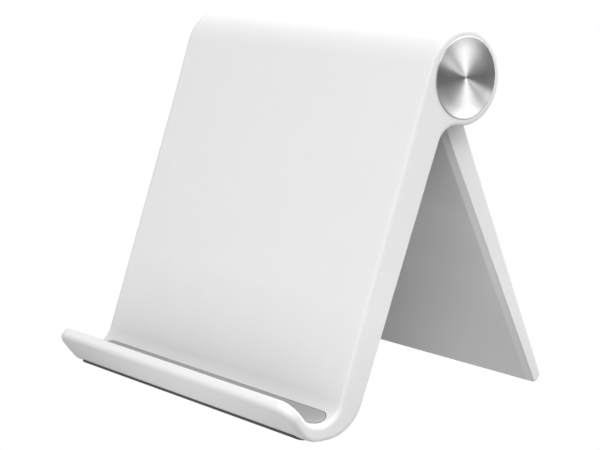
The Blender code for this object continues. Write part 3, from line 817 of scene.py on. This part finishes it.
# Light from the sky: its axis, how tightly it is gathered round that axis, and its level
SKY = [((0, -1, 0), 3, 1.36), ((0.35, 0.45, 0.82), 4, 2.45), ((0.1, 0.79, 0.6), 6, 3.8),
       ((-0.4, -0.69, 0.6), 2, 0.55)]
# Light from the floor: the same for the way from the stand, and how far off it starts and stops
FLOOR = [((1, 0, 0), 1, 0.2, 0.02, 0.25), ((0, -1, 0), 1, 0.95, 0.02, 0.25),
         ((0, -1, 0), 1, 0.8, 0.25, 2.0), ((0, 1, 0), 1, 0.36, 0.02, 0.25),
         ((0.6, 0.8, 0), 2, 0.32, 0.02, 0.14)]
# The soft box: its place, what it is aimed at, its side and its power
BOX_PLACE, BOX_AIM = Vector((0.4, -0.2, 0.4)), Vector((0, 0, 0.05))
BOX_SIDE, BOX_POWER = 0.25, 0.78

FLOOR_HALF = 2.0
FLOOR_DROP = 0.0002           # keeps the floor clear of the feet that stand on it

# The camera, in millimetres from the hinge
EYE = Vector((354.5, -310.036, 38.575))
TARGET = Vector((0, -10.836, -43.025))
CAMERA_UP = Vector((0, -0.01648, 0.99986))
LENS, SENSOR = 104.96, 36.0


def soft_box():
    data = bpy.data.lights.new("soft_box", "AREA")
    data.shape = "SQUARE"
    data.size = BOX_SIDE
    data.energy = BOX_POWER
    obj = bpy.data.objects.new("soft_box", data)
    obj.location = BOX_PLACE
    obj.rotation_euler = (BOX_AIM - BOX_PLACE).to_track_quat("-Z", "Y").to_euler()
    bpy.context.scene.collection.objects.link(obj)


def white_to_camera(tree, output, seen, lit):
    """What the camera sees is one shader, and what lights the object is another."""
    path = tree.nodes.new("ShaderNodeLightPath")
    mix = tree.nodes.new("ShaderNodeMixShader")
    tree.links.new(path.outputs["Is Camera Ray"], mix.inputs[0])
    tree.links.new(lit.outputs[0], mix.inputs[1])
    tree.links.new(seen.outputs[0], mix.inputs[2])
    tree.links.new(mix.outputs[0], output.inputs["Surface"])


def math_node(tree, operation, a, b):
    made = tree.nodes.new("ShaderNodeMath")
    made.operation = operation
    for socket, value in zip(made.inputs, (a, b)):
        if isinstance(value, bpy.types.NodeSocket):
            tree.links.new(value, socket)
        else:
            socket.default_value = value
    return made.outputs[0]


def lobe(tree, vector, axis, power, level):
    """Light gathered round an axis, for a unit vector."""
    dot = tree.nodes.new("ShaderNodeVectorMath")
    dot.operation = "DOT_PRODUCT"
    tree.links.new(vector, dot.inputs[0])
    dot.inputs[1].default_value = axis
    facing = math_node(tree, "MAXIMUM", dot.outputs["Value"], 0.0001)
    return math_node(tree, "MULTIPLY", math_node(tree, "POWER", facing, power), level)


def beyond(tree, reach, edge):
    """0 nearer than the edge and 1 further away, with a soft change a fifth to either side."""
    made = tree.nodes.new("ShaderNodeMapRange")
    made.interpolation_type = "SMOOTHSTEP"
    tree.links.new(reach, made.inputs["Value"])
    made.inputs["From Min"].default_value = edge * 0.8
    made.inputs["From Max"].default_value = edge * 1.2 + 0.0001
    return made.outputs["Result"]


def sky():
    world = bpy.data.worlds.new("studio")
    world.use_nodes = True
    bpy.context.scene.world = world
    tree = world.node_tree
    lit = tree.nodes["Background"]
    seen = tree.nodes.new("ShaderNodeBackground")
    seen.inputs["Color"].default_value = (1, 1, 1, 1)
    ray = tree.nodes.new("ShaderNodeTexCoord").outputs["Generated"]
    total = 0.0
    for axis, power, level in SKY:
        total = math_node(tree, "ADD", total, lobe(tree, ray, axis, power, level))
    tree.links.new(total, lit.inputs["Strength"])
    lit.inputs["Color"].default_value = (1, 1, 1, 1)
    white_to_camera(tree, tree.nodes["World Output"], seen, lit)


def floor_material():
    material = bpy.data.materials.new("floor")
    material.use_nodes = True
    tree = material.node_tree
    tree.nodes.remove(tree.nodes["Principled BSDF"])
    lit = tree.nodes.new("ShaderNodeEmission")
    seen = tree.nodes.new("ShaderNodeEmission")
    place = tree.nodes.new("ShaderNodeTexCoord").outputs["Object"]
    unit = tree.nodes.new("ShaderNodeVectorMath")
    unit.operation = "NORMALIZE"
    tree.links.new(place, unit.inputs[0])
    length = tree.nodes.new("ShaderNodeVectorMath")
    length.operation = "LENGTH"
    tree.links.new(place, length.inputs[0])
    reach = length.outputs["Value"]
    total = 0.0
    for axis, power, level, start, stop in FLOOR:
        part = lobe(tree, unit.outputs[0], axis, power, level)
        here = math_node(tree, "SUBTRACT", beyond(tree, reach, start), beyond(tree, reach, stop))
        total = math_node(tree, "ADD", total, math_node(tree, "MULTIPLY", part, here))
    tree.links.new(total, lit.inputs["Strength"])
    white_to_camera(tree, tree.nodes["Material Output"], seen, lit)
    return material


def stage():
    sky()
    half = FLOOR_HALF
    mesh = bpy.data.meshes.new("floor")
    mesh.from_pydata([(-half, -half, 0), (half, -half, 0), (half, half, 0), (-half, half, 0)],
                     [], [(0, 1, 2, 3)])
    mesh.materials.append(floor_material())
    floor = bpy.data.objects.new("floor", mesh)
    floor.location.z = -FLOOR_DROP
    bpy.context.scene.collection.objects.link(floor)
    soft_box()
    bpy.context.scene.view_settings.view_transform = "Standard"


def camera():
    data = bpy.data.cameras.new("camera")
    data.lens = LENS
    data.sensor_width = SENSOR
    obj = bpy.data.objects.new("camera", data)
    bpy.context.scene.collection.objects.link(obj)
    eye = HINGE + EYE * MM
    back = (eye - (HINGE + TARGET * MM)).normalized()
    right = CAMERA_UP.cross(back).normalized()
    axes = Matrix((right, back.cross(right), back)).transposed().to_4x4()
    obj.matrix_world = Matrix.Translation(eye) @ axes
    bpy.context.scene.camera = obj


# ---------------------------------------------------------------- stand

def build():
    front_plate()
    hook_pad()
    leg_shell()
    leg_cover()
    soft_copy("front_foot_strip_soft", "front_foot_strip", "plate", "rubber", 0.2)
    soft_copy("leg_foot_pad_soft", "leg_foot_pad", "leg", "rubber", 0.12)
    for side, tag in ((1, "right"), (-1, "left")):
        end_cap(side, tag)
    slots = {"back_panel": "white_plastic", "cap_tape": "foam_tape", "hinge_flange": "zinc",
             "hinge_cup": "zinc", "friction": "acetal"}
    for name, obj in frame["nodes"].items():
        slot = next((slots[key] for key in slots if name.startswith(key)), "steel")
        for place in obj.material_slots:
            place.material = MATERIALS[slot]
    stage()
    camera()


build()
